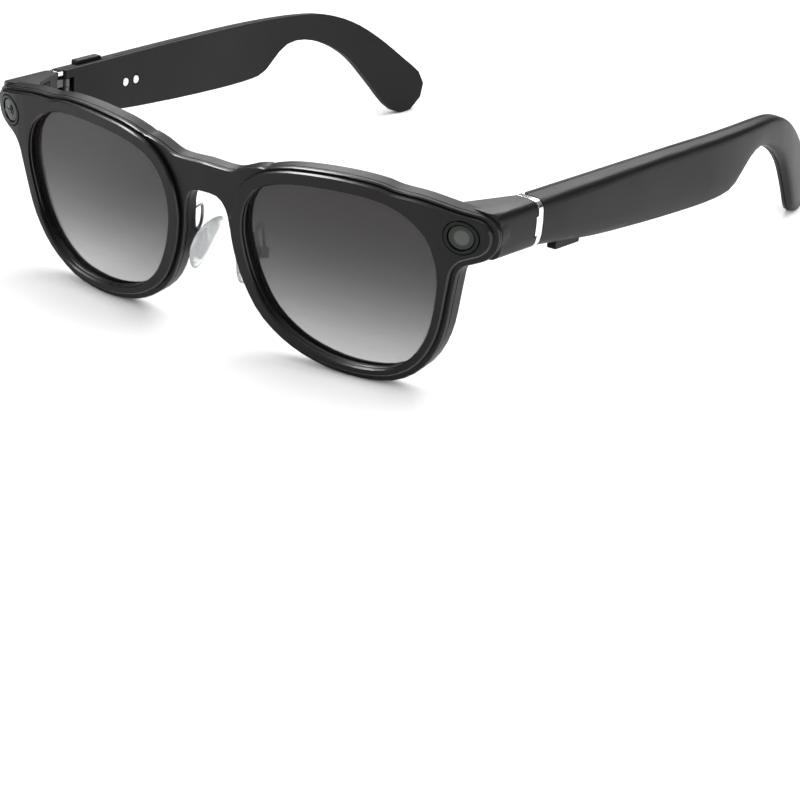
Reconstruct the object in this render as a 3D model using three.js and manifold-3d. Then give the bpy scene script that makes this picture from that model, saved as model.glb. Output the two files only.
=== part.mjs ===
// Smart glasses: a layered front with a camera window and an indicator window,
// two folding temples that carry the electronics, and a pair of nose pads.
// Millimetres, +X to the wearer's left, +Y back along the temples, +Z up.
import * as THREE from 'three';
import { ParametricGeometry } from 'three/addons/geometries/ParametricGeometry.js';
import { mergeVertices } from 'three/addons/utils/BufferGeometryUtils.js';
import Module from 'manifold-3d';

const wasm = await Module();
wasm.setup();

// ---- driving dimensions ----------------------------------------------------
const CLEAR = 0.25;             // gap between pieces that touch

// eye openings
const EYE_WIDTH = 47.7;
const EYE_HEIGHT = 40.2;
const EYE_GAP = 21.2;           // between the two openings, over the nose
const RIM_NASAL = 3.2;          // width of the front ring on each side
const RIM_TOP = 3.0;
const RIM_TEMPORAL = 2.1;
const RIM_BOTTOM = 1.7;
const REVEAL_TOP = 0.6;         // how far the plates behind stand out past the ring
const REVEAL_SIDE = 0.95;
const REVEAL_BOTTOM = 1.6;

// front layers, from the front face backwards
const RING_THICK = 0.9;
const MID_THICK = 0.9;
const REAR_THICK = 2.9;
const LAYER_GAP = 0.25;
const RING_CHAMFER = 0.32;      // bright edge of the ring plates
const PLATE_CHAMFER = 0.22;
const FRONT_SAG = 5.0;          // how far the front wraps back at SAG_REACH
const SAG_REACH = 57.6;
const END_ROLL = 0.021;         // extra curl of the end pieces
const END_ROLL_START = 58.0;

// lenses
const EYE_BEVEL = 1.0;          // the rear frame opens out towards the eye
const LENS_THICK = 1.2;
const LENS_LIP = 1.0;           // lens edge hidden behind the mid plate
const REAR_LIP = 0.3;           // rear frame's ledge behind the lens reaches this far out of the opening

// windows in the end pieces
const WINDOW_OUT = 5.5;         // from the opening's outer edge to the window's axis
const WINDOW_UP = 15.5;         // above the middle of the opening
const BEZEL_RADIUS = 3.6;
const BEZEL_WALL = 0.7;
const BARREL_RADIUS = 2.2;

// temples
const TEMPLE_LENGTH = 143.8;    // hinge to tip, measured along the straight part
const TEMPLE_FRONT_THICK = 5.8;
const TEMPLE_TIP_THICK = 3.3;
const TEMPLE_HEIGHT = 10.8;     // at the hinge
const TEMPLE_BELLY = 4.8;       // how much deeper the speaker bulge is
const TEMPLE_DROP = 8.65;       // degrees, temple against the front's normal
const SPLAY = 0.058;            // outward slope of the inner face
const CURL = 0.0022;            // inward curl behind CURL_START
const CURL_START = 66.0;
const COVER_THICK = 0.9;
const SHELL_WALL = 1.1;
const HINGE_BACK = 25.4;        // hinge line behind the front face's middle
const HINGE_UP = 13.0;

// hinge
const PIN_RADIUS = 0.6;
const KNUCKLE_RADIUS = 1.35;
const PIN_CLEAR = 0.08;
const BAND_WIDTH = 1.6;
const BAND_TAB = 0.8;           // step in the band's front edge
const BAND_WALL = 1.0;
const SLOT_GAP = 0.3;           // temple's end face to the band

// nose pads
const PAD_LENGTH = 13.5;
const PAD_WIDTH = 7.2;
const PAD_THICK = 1.5;
const PAD_SET = 1.6;            // how far the pad's middle stands ahead of its screw
const PAD_BOW = 1.3;            // how far the pad's ends bend towards the nose
const WIRE_RADIUS = 0.45;

// controls and contacts
const BUTTON_LENGTH = 8.8;
const BUTTON_RISE = 0.85;
const BUTTON_TRAVEL = 0.4;
const CONTACT_RADIUS = 1.05;
const CONTACT_PITCH = 4.0;

// ---- materials --------------------------------------------------------------
const paint = (color, roughness, metalness = 0, extra = {}) =>
  new THREE.MeshStandardMaterial({ color, roughness, metalness, ...extra });
const satinBlack = paint(0x1c1d1f, 0.45);
const innerBlack = paint(0x232426, 0.5);
const smokedLens = paint(0x8f8a8c, 0.05, 0, { transparent: true, opacity: 0.5 });
const darkGlass = paint(0x0b0d0e, 0.1);
const diffuser = paint(0x6b746c, 0.4);
const chrome = paint(0xd8dadc, 0.12, 1);
const steel = paint(0xb9bcc0, 0.25, 1);
const silicone = paint(0xdfe3e4, 0.35, 0, { transparent: true, opacity: 0.6 });
const boardGreen = paint(0x14452c, 0.5);
const cellGrey = paint(0x9a9da1, 0.4, 0.5);
const driverBlack = paint(0x151517, 0.6);

// ---- solid helpers ----------------------------------------------------------
function closed(geometry) {
  const g = geometry.clone();
  g.deleteAttribute('normal');
  g.deleteAttribute('uv');
  const merged = mergeVertices(g, 1e-4);
  const index = merged.index.array;
  const kept = [];
  for (let i = 0; i < index.length; i += 3) {
    const [a, b, c] = [index[i], index[i + 1], index[i + 2]];
    if (a !== b && b !== c && c !== a) kept.push(a, b, c);
  }
  merged.setIndex(kept);
  return merged;
}

function toSolid(geometry) {
  const g = closed(geometry);
  return new wasm.Manifold(new wasm.Mesh({
    numProp: 3,
    vertProperties: new Float32Array(g.attributes.position.array),
    triVerts: new Uint32Array(g.index.array),
  }));
}

function toGeometry(solid) {
  const mesh = solid.getMesh();
  const g = new THREE.BufferGeometry();
  g.setAttribute('position', new THREE.BufferAttribute(new Float32Array(mesh.vertProperties), 3));
  g.setIndex(new THREE.BufferAttribute(new Uint32Array(mesh.triVerts), 1));
  return g;
}

const join = (...shapes) => toGeometry(shapes.map(toSolid).reduce((a, b) => a.add(b)));
const cut = (body, ...tools) => toGeometry(tools.map(toSolid).reduce((a, b) => a.subtract(b), toSolid(body)));
const overlap = (a, b) => toGeometry(toSolid(a).intersect(toSolid(b)));

// the same shape on the other side of the glasses
function mirrored(geometry) {
  const g = closed(geometry);
  const position = g.attributes.position;
  for (let i = 0; i < position.count; i++) position.setX(i, -position.getX(i));
  const index = Array.from(g.index.array);
  for (let i = 0; i < index.length; i += 3) [index[i], index[i + 1]] = [index[i + 1], index[i]];
  g.setIndex(index);
  return g;
}

function reshaped(geometry, change) {
  const g = closed(geometry);
  const position = g.attributes.position;
  const p = new THREE.Vector3();
  for (let i = 0; i < position.count; i++) {
    p.fromBufferAttribute(position, i);
    change(p);
    position.setXYZ(i, p.x, p.y, p.z);
  }
  return g;
}

// ---- outlines in the front's plane (x across, y up) ---------------------------
const knots = (list) => list.map(([x, y]) => new THREE.Vector3(x, y, 0));

function closedLoop(list, count) {
  const curve = new THREE.CatmullRomCurve3(knots(list), true, 'centripetal');
  return curve.getSpacedPoints(count).slice(0, count).map((p) => new THREE.Vector2(p.x, p.y));
}

// moves every point of an anticlockwise loop outwards by reach(normal)
function offset(loop, reach) {
  const far = typeof reach === 'number' ? () => reach : reach;
  return loop.map((p, i) => {
    const before = loop[(i + loop.length - 1) % loop.length];
    const after = loop[(i + 1) % loop.length];
    const normal = new THREE.Vector2(after.y - before.y, before.x - after.x).normalize();
    return p.clone().addScaledVector(normal, far(normal));
  });
}

function circle(x, y, radius, count = 32) {
  return Array.from({ length: count }, (_, i) => {
    const a = (i / count) * Math.PI * 2;
    return new THREE.Vector2(x + radius * Math.cos(a), y + radius * Math.sin(a));
  });
}

// a plate of the given outline, standing in the XZ plane between two depths
function plate(outline, from, to) {
  const g = new THREE.ExtrudeGeometry(new THREE.Shape(outline), { depth: to - from, bevelEnabled: false });
  return g.rotateX(Math.PI / 2).translate(0, to, 0);
}

// ---- the wrap of the front ----------------------------------------------------
function wrapDepth(x) {
  const u = Math.abs(x) / SAG_REACH;
  const roll = Math.max(0, Math.abs(x) - END_ROLL_START);
  return FRONT_SAG * (1.5 * u * u - 0.5 * u ** 4) + END_ROLL * roll * roll;
}

// Depth lines of the wrap. Every layer is cut from a slab with these same lines, so the gaps
// between the layers stay even.
const FRONT_REACH = 80;
const depthLines = [0, 10, 20, 30, 39, 47, 53, 58, 61, 63.5, 66, 68.5, 71, 75, FRONT_REACH];
const acrossFront = [...depthLines.slice(1).map((x) => -x).reverse(), ...depthLines];
function slab(from, to) {
  const side = (depth) => acrossFront.map((x) => new THREE.Vector2(x, wrapDepth(x) + depth));
  const outline = new THREE.Shape([...side(from), ...side(to).reverse()]);
  return new THREE.ExtrudeGeometry(outline, { depth: 90, bevelEnabled: false }).translate(0, 0, -50);
}

// ---- front outlines -------------------------------------------------------------
const EYE_X = (EYE_GAP + EYE_WIDTH) / 2;
const WINDOW_X = EYE_X + EYE_WIDTH / 2 + WINDOW_OUT;

// the opening, as shares of its half width and half height about its middle
const OPENING_SHAPE = [
  [-1.0, 0.32], [-0.94, 0.62], [-0.80, 0.82], [-0.55, 0.935], [-0.25, 0.985], [0.2, 1.0],
  [0.5, 0.965], [0.71, 0.87], [0.885, 0.70], [0.97, 0.49], [1.0, 0.26], [0.965, -0.08],
  [0.88, -0.44], [0.72, -0.74], [0.49, -0.93], [0.15, -1.0], [-0.18, -0.965],
  [-0.5, -0.83], [-0.755, -0.59], [-0.91, -0.25], [-0.985, 0.08],
].reverse();
const opening = closedLoop(
  OPENING_SHAPE.map(([u, v]) => [EYE_X + u * EYE_WIDTH / 2, v * EYE_HEIGHT / 2]), 56);

const rimWidth = (n) =>
  (n.x < 0 ? RIM_NASAL : RIM_TEMPORAL) * n.x * n.x + (n.y > 0 ? RIM_TOP : RIM_BOTTOM) * n.y * n.y;

// the end piece, about the window's axis, anticlockwise from its lower root
const END_SHAPE = [
  [-3.1, -11.5], [-2.2, -7.8], [-0.6, -5.7], [1.7, -4.6], [3.8, -3.7], [5.3, -2.2], [5.9, 0.0],
  [5.5, 2.1], [4.0, 3.7], [0, 4.7], [-8.7, 6.15],
];
const END_FROM = -0.08;         // angles about the eye's middle between which the end piece takes over
const END_TO = 1.0;

// the ring's outer edge, running out into the end piece
const eyeOutline = (() => {
  const angle = (p) => Math.atan2(p.y, p.x - EYE_X);
  const ring = offset(opening, rimWidth).filter((p) => angle(p) < END_FROM || angle(p) > END_TO);
  const seam = ring.findIndex((p, i) => angle(p) > END_TO && angle(ring.at(i - 1)) < END_FROM);
  const rim = [...ring.slice(seam), ...ring.slice(0, seam)].map((p) => [p.x, p.y]);
  const end = END_SHAPE.map(([x, y]) => [WINDOW_X + x, WINDOW_UP + y]);
  const corners = [...rim, ...end];
  const curve = new THREE.CatmullRomCurve3(knots(corners), true, 'centripetal');
  return corners.flatMap((_, i) => {
    const parts = i < rim.length - 1 ? 1 : 3;
    return Array.from({ length: parts }, (_, k) => curve.getPoint((i + k / parts) / corners.length));
  }).map((p) => new THREE.Vector2(p.x, p.y));
})();

// the saddle over the nose; its ends lie inside the rims
const BRIDGE_TOP = 18.9;
const ARCH_TOP = 11.9;
const BRIDGE_HALF = [
  [0, BRIDGE_TOP], [5.6, BRIDGE_TOP - 0.25], [8.6, BRIDGE_TOP - 0.05], [10.8, BRIDGE_TOP + 0.8],
  [14.0, BRIDGE_TOP + 1.95], [17.6, BRIDGE_TOP + 2.2], [16.4, BRIDGE_TOP - 1.0], [11.2, 14.0],
  [9.2, 9.0], [8.7, 3.5], [7.0, 2.0], [6.35, 5.0], [5.9, 8.0], [5.0, 10.2], [3.2, ARCH_TOP - 0.25], [0, ARCH_TOP],
];
const bridgeOutline = (() => {
  const half = new THREE.CatmullRomCurve3(knots(BRIDGE_HALF), false, 'centripetal').getSpacedPoints(34);
  const right = half.map((p) => new THREE.Vector2(p.x, p.y));
  const left = half.slice(1, -1).reverse().map((p) => new THREE.Vector2(-p.x, p.y));
  return right.concat(left).reverse();
})();

// ---- front layers -----------------------------------------------------------------
const MID_FRONT = RING_THICK + LAYER_GAP;
const REAR_FRONT = MID_FRONT + MID_THICK + LAYER_GAP;
const REAR_BACK = REAR_FRONT + REAR_THICK;
const lensOutline = offset(opening, LENS_LIP);
const reveal = (n) =>
  REVEAL_SIDE * n.x * n.x + (n.y > 0 ? REVEAL_TOP : REVEAL_BOTTOM) * n.y * n.y;

// A prism of the outline that follows the wrap, with a chamfer at its front or back edge.
// It runs on past both depths, and a slab trims it. A hole (side 1) opens outwards.
const PAST = 4;
const SKIM = 0.1;
function prism(outline, from, to, front, back, side = -1) {
  const end = (chamfer, depth, out) => {
    const edge = offset(outline, (chamfer + SKIM) * side);
    if (!chamfer) return [[outline, depth + out * PAST]];
    return [[edge, depth + out * PAST], [edge, depth + out * SKIM], [outline, depth - out * chamfer]];
  };
  const rows = [...end(front, from, -1), ...end(back, to, 1).reverse()];
  const steps = rows.length - 1;
  const g = new THREE.ExtrudeGeometry(new THREE.Shape(outline), { depth: steps, steps, bevelEnabled: false });
  return outward(reshaped(g, (p) => {
    const [line, depth] = rows[Math.round(p.z)];
    const i = outline.findIndex((q) => Math.hypot(q.x - p.x, q.y - p.y) < 1e-3);
    p.set(line[i].x, depth + wrapDepth(line[i].x), line[i].y);
  }));
}

function bothSides(shape) {
  return [shape, mirrored(shape)];
}

// a whole front layer: both eyes, their end pieces and the bridge
function frontLayer(from, to, front, back) {
  const eyes = bothSides(prism(offset(eyeOutline, reveal), from, to, front, back));
  return overlap(join(...eyes, prism(bridgeOutline, from, to, front, back)), slab(from, to));
}

const windowHole = (radius, count = 32) => circle(WINDOW_X, WINDOW_UP, radius, count);
const through = (outline) => plate(outline, -6, 45);
const ringPlate = cut(
  overlap(prism(eyeOutline, 0, RING_THICK, RING_CHAMFER, 0), slab(0, RING_THICK)),
  prism(opening, 0, RING_THICK, RING_CHAMFER, 0, 1),
  through(windowHole(BEZEL_RADIUS + CLEAR)));

const MID_BACK = MID_FRONT + MID_THICK;
const midPlate = cut(
  frontLayer(MID_FRONT, MID_BACK, PLATE_CHAMFER, 0),
  ...bothSides(prism(opening, MID_FRONT, MID_BACK, PLATE_CHAMFER, 0, 1)),
  ...bothSides(through(windowHole(BARREL_RADIUS + CLEAR + 0.3, 24))));

// the lens follows the wrap, so it is laid out in rings about its middle
function lens() {
  const front = REAR_FRONT;
  const steps = [[0, 0], [0.4, 0], [0.75, 0], [1, 0], [1, 1], [0.75, 1], [0.4, 1], [0, 1]];
  const count = lensOutline.length;
  const g = new ParametricGeometry((u, v, target) => {
    const [scale, back] = steps[Math.round(v * (steps.length - 1))];
    const p = lensOutline[Math.round(u * count) % count];
    const x = EYE_X + (p.x - EYE_X) * scale;
    target.set(x, front + back * LENS_THICK + wrapDepth(x), p.y * scale);
  }, count, steps.length - 1);
  return outward(g);
}

// turns the faces of a closed surface outwards
function outward(geometry) {
  const g = closed(geometry);
  const position = g.attributes.position;
  const index = Array.from(g.index.array);
  const [a, b, c] = [new THREE.Vector3(), new THREE.Vector3(), new THREE.Vector3()];
  let volume = 0;
  for (let i = 0; i < index.length; i += 3) {
    a.fromBufferAttribute(position, index[i]);
    b.fromBufferAttribute(position, index[i + 1]);
    c.fromBufferAttribute(position, index[i + 2]);
    volume += a.dot(b.cross(c));
  }
  if (volume < 0) {
    for (let i = 0; i < index.length; i += 3) [index[i], index[i + 1]] = [index[i + 1], index[i]];
    g.setIndex(index);
  }
  return g;
}

// ---- temple surface ------------------------------------------------------------------
// Side view of the temple: u runs back from the hinge, v up from its middle.
const DROP = THREE.MathUtils.degToRad(TEMPLE_DROP);
const HINGE_X = WINDOW_X + 1.6;
const TOP = TEMPLE_HEIGHT / 2;
const BELLY = TOP + TEMPLE_BELLY;
const STRETCH = TEMPLE_LENGTH / 146;
const along = (list) => list.map(([u, v]) => new THREE.Vector3(u * STRETCH, v, 0));
const topLine = new THREE.CatmullRomCurve3(along([
  [0, TOP], [20, TOP + 0.1], [45, TOP + 0.2], [70, TOP + 0.1], [85, TOP - 0.1], [97, TOP - 0.5],
  [105, TOP - 1.2], [113, TOP - 3.0], [121, TOP - 6.2], [130, TOP - 11.5], [139, TOP - 18.1],
  [144.5, TOP - 22.4], [146.4, TOP - 26.2], [145.6, TOP - 30.0], [142.2, TOP - 32.4],
]), false, 'centripetal');
const lowLine = new THREE.CatmullRomCurve3(along([
  [0, -TOP], [10, -TOP - 1.2], [22, -TOP - 2.6], [40, -TOP - 3.8], [56, -TOP - 4.5], [69, -BELLY],
  [77, -BELLY + 0.2], [82.5, -BELLY + 1.1], [86.5, -BELLY + 4.0], [91, -BELLY + 7.2], [96, -BELLY + 8.15],
  [102, -BELLY + 7.4], [110, -BELLY + 4.6], [118, -BELLY - 0.3], [126, -BELLY - 8.1], [134, -BELLY - 16.3],
  [138.4, -BELLY - 18.4], [142.2, -BELLY - 17.8],
]), false, 'centripetal');

// u of the ribs on the top line and on the low line, so that they stand across the temple
const ribTop = new THREE.CatmullRomCurve3(knots([
  [0, 0], [0.35, 0.36], [0.5, 0.5], [0.62, 0.6], [0.8, 0.775], [0.93, 0.92], [1, 1],
]), false, 'centripetal');

const innerFace = (u) => SPLAY * u - CURL * Math.max(0, u - CURL_START * STRETCH) ** 2;
const thickness = (u) =>
  THREE.MathUtils.lerp(TEMPLE_FRONT_THICK, TEMPLE_TIP_THICK, THREE.MathUtils.clamp(u / TEMPLE_LENGTH, 0, 1));

// the section of the temple across a rib of length h and thickness t, from a split plane outwards
function section(h, t, split) {
  const r = Math.min(1, h / 6);
  const s = r * t / TEMPLE_FRONT_THICK;
  return [
    [0, split], [h, split], [h - 0.12 * r, THREE.MathUtils.lerp(split, t - 1.5 * s, 0.6)],
    [h - 0.35 * r, t - 1.5 * s], [h - 0.75 * r, t - 0.8 * s], [h - 1.3 * r, t - 0.38 * s],
    [h - 2.3 * r, t - 0.12 * s], [0.55 * h, t], [0.3 * h, t - 0.12 * s], [0.145 * h, t - 0.5 * s],
    [0.8 * r, t - 1.05 * s], [0.4 * r, t - 1.8 * s], [0.12 * r, THREE.MathUtils.lerp(split, t - 1.8 * s, 0.5)],
  ];
}

// a rounded bar between two depths, for the cover
const coverSection = (h, t, depth) => [[0, 0], [h, 0], [h, depth], [0, depth]];

// a surface skinned over the ribs between two shares of the temple's length
function ribSkin(from, to, count, sectionOf) {
  const sides = sectionOf(10, 5).length;
  const shares = [0];
  for (let i = 0; i <= count; i++) shares.push(i / count);
  shares.push(1);
  const g = new ParametricGeometry((a, b, target) => {
    const row = Math.round(b * (shares.length - 1));
    const s = THREE.MathUtils.lerp(from, to, shares[row]);
    const low = lowLine.getPointAt(s);
    const high = topLine.getPointAt(ribShare(s));
    const h = Math.max(low.distanceTo(high), 1e-3);
    const rib = high.clone().sub(low).divideScalar(h);
    const capped = row === 0 || row === shares.length - 1;
    const mid = low.clone().lerp(high, 0.5);
    const t = thickness(mid.x);
    const points = sectionOf(h, t);
    const side = Math.round(a * sides) % sides;
    const [along, lateral] = capped ? middleOf(points) : points[side];
    const q = low.clone().addScaledVector(rib, along);
    target.set(innerFace(q.x) + lateral, q.x, q.y);
  }, sides, shares.length - 1);
  return outward(g);
}

const ribShare = (s) => {
  const pts = ribTop.points;
  for (let i = 1; i < pts.length; i++) {
    if (s <= pts[i].x) {
      const k = (s - pts[i - 1].x) / (pts[i].x - pts[i - 1].x);
      return THREE.MathUtils.lerp(pts[i - 1].y, pts[i].y, k);
    }
  }
  return 1;
};

function middleOf(points) {
  const sum = points.reduce(([a, b], [x, y]) => [a + x, b + y], [0, 0]);
  return [sum[0] / points.length, sum[1] / points.length];
}

// ---- rear frame -----------------------------------------------------------------------
// Temple space: x is measured inwards to outwards from the inner face, y back from the
// hinge, z up from the temple's middle. placeTemple puts a shape of that space on the left side.
const placeTemple = (g) => reshaped(g, (p) => {
  const [u, v] = [p.y, p.z];
  p.x += HINGE_X;
  p.y = HINGE_BACK + u * Math.cos(DROP) + v * Math.sin(DROP);
  p.z = HINGE_UP - u * Math.sin(DROP) + v * Math.cos(DROP);
});
const bent = (g) => reshaped(g, (p) => { p.x += innerFace(p.y); });

const box = (x0, x1, y0, y1, z0, z1) =>
  new THREE.BoxGeometry(x1 - x0, y1 - y0, z1 - z0).translate((x0 + x1) / 2, (y0 + y1) / 2, (z0 + z1) / 2);
const post = (radius, x, y, z0, z1, sides = 20) =>
  new THREE.CylinderGeometry(radius, radius, z1 - z0, sides).rotateX(Math.PI / 2).translate(x, y, (z0 + z1) / 2);

// the temple's section where it meets the hinge, as a loop in the XZ plane
const endSection = section(TEMPLE_HEIGHT, TEMPLE_FRONT_THICK, 0)
  .map(([a, b]) => new THREE.Vector2(b, a - TOP)).reverse();

const HOUSING_END = -(SLOT_GAP + BAND_WIDTH + CLEAR);
const HOUSING_START = -16.4;
const HOUSING_SLANT = 0.4;      // inner wall of the housing, across per length
const housingInner = (u) => HOUSING_SLANT * (u - HOUSING_END);
const housingOuter = (u) => TEMPLE_FRONT_THICK + 0.07 * (u - HOUSING_END);

function housingSkin() {
  const rows = [HOUSING_START, HOUSING_START, -12, -7, HOUSING_END, HOUSING_END];
  const sides = endSection.length;
  const g = new ParametricGeometry((a, b, target) => {
    const row = Math.round(b * (rows.length - 1));
    const u = rows[row];
    const points = section(TEMPLE_HEIGHT, housingOuter(u), housingInner(u));
    const capped = row === 0 || row === rows.length - 1;
    const [up, across] = capped ? middleOf(points) : points[Math.round(a * sides) % sides];
    target.set(across, u, up - TOP);
  }, sides, rows.length - 1);
  return outward(g);
}

// pocket for the camera or indicator behind each window, closed by the end cover
const POCKET_FRONT = -13.8;
const POCKET_BACK = -7.5;
const POCKET_HALF = 3.75;
const COVER_OVERHANG = 0.9;
const slantAngle = -Math.atan(HOUSING_SLANT);
function coverPlate(grow) {
  const front = POCKET_FRONT + 2 * CLEAR;
  const back = POCKET_BACK + COVER_OVERHANG;
  const middle = (front + back) / 2;
  const high = 2 * (POCKET_HALF + COVER_OVERHANG / 2 + grow);
  return new THREE.BoxGeometry(0.8 + 2 * grow, (back - front) / Math.cos(slantAngle) + 2 * grow, high)
    .rotateZ(slantAngle).translate(housingInner(middle) + 0.45, middle, 0);
}

// the bright band round the end of the housing, open on the inner side, with a step in front
const bandBack = -SLOT_GAP;
const bandFront = -SLOT_GAP - BAND_WIDTH;
const TAB_HALF = 2.1;
function bandTab(grow) {
  return overlap(
    plate(offset(endSection, grow), bandFront - BAND_TAB - grow, bandFront + 0.4),
    box(TEMPLE_FRONT_THICK - BAND_WALL - grow, TEMPLE_FRONT_THICK + 1, bandFront - 3, bandFront + 1,
      -TAB_HALF - grow, TAB_HALF + grow));
}
const band = join(
  cut(
    plate(endSection, bandFront, bandBack),
    plate(offset(endSection, -BAND_WALL), bandFront - 1, bandBack + 1),
    box(-1, BAND_WALL + 0.1, bandFront - 1, bandBack + 1, -TOP + BAND_WALL, TOP - BAND_WALL)),
  bandTab(0));

// hinge leaves and pin, all about the pin's line
const PIVOT_IN = 1.8;           // pin's line outwards from the inner face
const PIVOT_BACK = 2.2;         // pin's line behind the temple's front end
const LEAF_HALF = 0.7;
const BARREL_HALF = 3.0;
const KNUCKLE_HALF = 0.95;
const NOTCH_HALF = 3.35;
const PIN_LINE = PIVOT_IN + innerFace(PIVOT_BACK);
const pinHole = (x) => post(PIN_RADIUS + PIN_CLEAR, x, PIVOT_BACK, -5, 5);
const knuckle = (x, z0, z1) => post(KNUCKLE_RADIUS, x, PIVOT_BACK, z0, z1);
const leafBar = (x, y0, y1, z0, z1) => box(x - LEAF_HALF, x + LEAF_HALF, y0, y1, z0, z1);
const FRONT_LEAF = 6.0;         // how far each leaf reaches from its end of the gap
const TEMPLE_LEAF = 4.6;
const upper = [KNUCKLE_HALF + 0.12, BARREL_HALF];
const lower = [-BARREL_HALF, -KNUCKLE_HALF - 0.12];
const frontLeaf = cut(
  join(
    leafBar(PIN_LINE, -FRONT_LEAF, -1.0, -BARREL_HALF, BARREL_HALF),
    leafBar(PIN_LINE, -1.2, PIVOT_BACK, ...upper), knuckle(PIN_LINE, ...upper),
    leafBar(PIN_LINE, -1.2, PIVOT_BACK, ...lower), knuckle(PIN_LINE, ...lower)),
  pinHole(PIN_LINE));
const templeLeaf = cut(
  join(
    leafBar(PIVOT_IN, PIVOT_BACK + 2.0, PIVOT_BACK + TEMPLE_LEAF, -BARREL_HALF + 0.2, BARREL_HALF - 0.2),
    leafBar(PIVOT_IN, PIVOT_BACK, PIVOT_BACK + 2.2, -KNUCKLE_HALF, KNUCKLE_HALF),
    knuckle(PIVOT_IN, -KNUCKLE_HALF, KNUCKLE_HALF)),
  pinHole(PIVOT_IN));
const hingePin = post(PIN_RADIUS, PIN_LINE, PIVOT_BACK, -BARREL_HALF, BARREL_HALF);
const leafRecess = box(PIN_LINE - LEAF_HALF - CLEAR, PIN_LINE + LEAF_HALF + CLEAR,
  -FRONT_LEAF - CLEAR, 1, -BARREL_HALF - CLEAR, BARREL_HALF + CLEAR);

// everything ahead of the rear frame's front face
const aheadOfRear = slab(-30, REAR_FRONT);
const PASSAGE_BACK = wrapDepth(WINDOW_X) + 9;
const windowPassage = plate(windowHole(BARREL_RADIUS + 0.35, 24), -6, PASSAGE_BACK);

function rearHousing() {
  const bossTop = TOP - BAND_WALL - CLEAR - 0.15;
  const boss = box(BAND_WALL + CLEAR + 0.1, TEMPLE_FRONT_THICK - BAND_WALL - CLEAR - 0.8,
    HOUSING_END - 1, bandBack, -bossTop, bossTop);
  const body = cut(
    join(housingSkin(), boss),
    bandTab(CLEAR),
    box(-8, TEMPLE_FRONT_THICK - 1.3, POCKET_FRONT, POCKET_BACK, -POCKET_HALF, POCKET_HALF),
    coverPlate(CLEAR),
    leafRecess);
  return cut(placeTemple(body), aheadOfRear, windowPassage);
}

// the board behind each window, and its seat in the rear frame
const barrelFront = wrapDepth(WINDOW_X + BARREL_RADIUS) + RING_THICK + CLEAR;
const BARREL_LENGTH = 3.9;
const boardFront = barrelFront + BARREL_LENGTH + CLEAR + 0.3;
const boardBlock = (grow) => box(
  WINDOW_X - 1.1 - grow, WINDOW_X + 1.7 + grow, boardFront - grow, boardFront + 0.6 + grow,
  WINDOW_UP - 3.0 - grow, WINDOW_UP + 2.3 + grow);

const lensSeat = overlap(
  through(offset(opening, LENS_LIP + CLEAR)), slab(-1, REAR_FRONT + LENS_THICK + CLEAR));
const rearPlate = cut(
  frontLayer(REAR_FRONT, REAR_BACK, 0, PLATE_CHAMFER),
  ...bothSides(lensSeat),
  ...bothSides(prism(offset(opening, REAR_LIP), REAR_FRONT, REAR_BACK, 0, EYE_BEVEL, 1)),
  ...bothSides(windowPassage));
const housing = rearHousing();
const coverRecess = placeTemple(coverPlate(CLEAR));
const rearFrame = cut(
  join(rearPlate, housing, mirrored(housing)),
  ...bothSides(coverRecess),
  ...bothSides(boardBlock(CLEAR)));

// ---- windows --------------------------------------------------------------------------
const bezel = cut(
  overlap(through(windowHole(BEZEL_RADIUS)), slab(-0.12, RING_THICK)),
  through(windowHole(BEZEL_RADIUS - BEZEL_WALL)));
const windowGlass = overlap(
  through(windowHole(BEZEL_RADIUS - BEZEL_WALL - CLEAR, 28)), slab(0.15, RING_THICK));
const windowRod = (radius, sides) => new THREE.CylinderGeometry(radius, radius, BARREL_LENGTH, sides)
  .translate(WINDOW_X, barrelFront + BARREL_LENGTH / 2, WINDOW_UP);
const barrel = windowRod(BARREL_RADIUS, 24);
const emitter = windowRod(BARREL_RADIUS * 0.8, 20);
const windowBoard = boardBlock(0);

// ---- temple pieces --------------------------------------------------------------------
const SPLIT = COVER_THICK + CLEAR;
const lowAt = heightOf(lowLine);
const topAt = heightOf(topLine);

// height of a side line at a given distance behind the hinge
function heightOf(line) {
  const points = line.getSpacedPoints(160);
  return (u) => {
    const i = points.findIndex((p) => p.x >= u);
    const [p, q] = [points[Math.max(i - 1, 0)], points[Math.max(i, 1)]];
    return THREE.MathUtils.lerp(p.y, q.y, (u - p.x) / (q.x - p.x));
  };
}

// a shape drawn in side view, reaching across from the split to a wall of the shell
function pocket(outline, from, wall) {
  const g = new THREE.ExtrudeGeometry(new THREE.Shape(outline), { depth: 1, bevelEnabled: false });
  return reshaped(g, (p) => {
    const [u, v, side] = [p.x, p.y, p.z];
    p.set(side < 0.5 ? from : thickness(u) - wall, u, v);
  });
}

const CAVITY_FRONT = 3.4;
const CAVITY_BACK = 81.5 * STRETCH;
const cavityRows = [CAVITY_FRONT, ...[12, 22, 34, 46, 58, 70].map((u) => u * STRETCH), CAVITY_BACK - 2.5, CAVITY_BACK];
const cavityOutline = cavityRows.map((u) => new THREE.Vector2(u, lowAt(u) + SHELL_WALL + 0.35))
  .concat([...cavityRows].reverse().map((u) => new THREE.Vector2(u, topAt(u) - SHELL_WALL - 0.2)));

// the front inner corner: rounded about the pin, and notched for the hinge
const cornerRound = cut(
  box(-2, PIVOT_IN, -1, PIVOT_BACK, -12, 12),
  post(PIVOT_BACK, PIVOT_IN, PIVOT_BACK, -13, 13, 40));
const hingeNotch = box(-2, PIVOT_IN + KNUCKLE_RADIUS + CLEAR, -1, PIVOT_BACK + KNUCKLE_RADIUS + CLEAR,
  -NOTCH_HALF, NOTCH_HALF);

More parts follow.
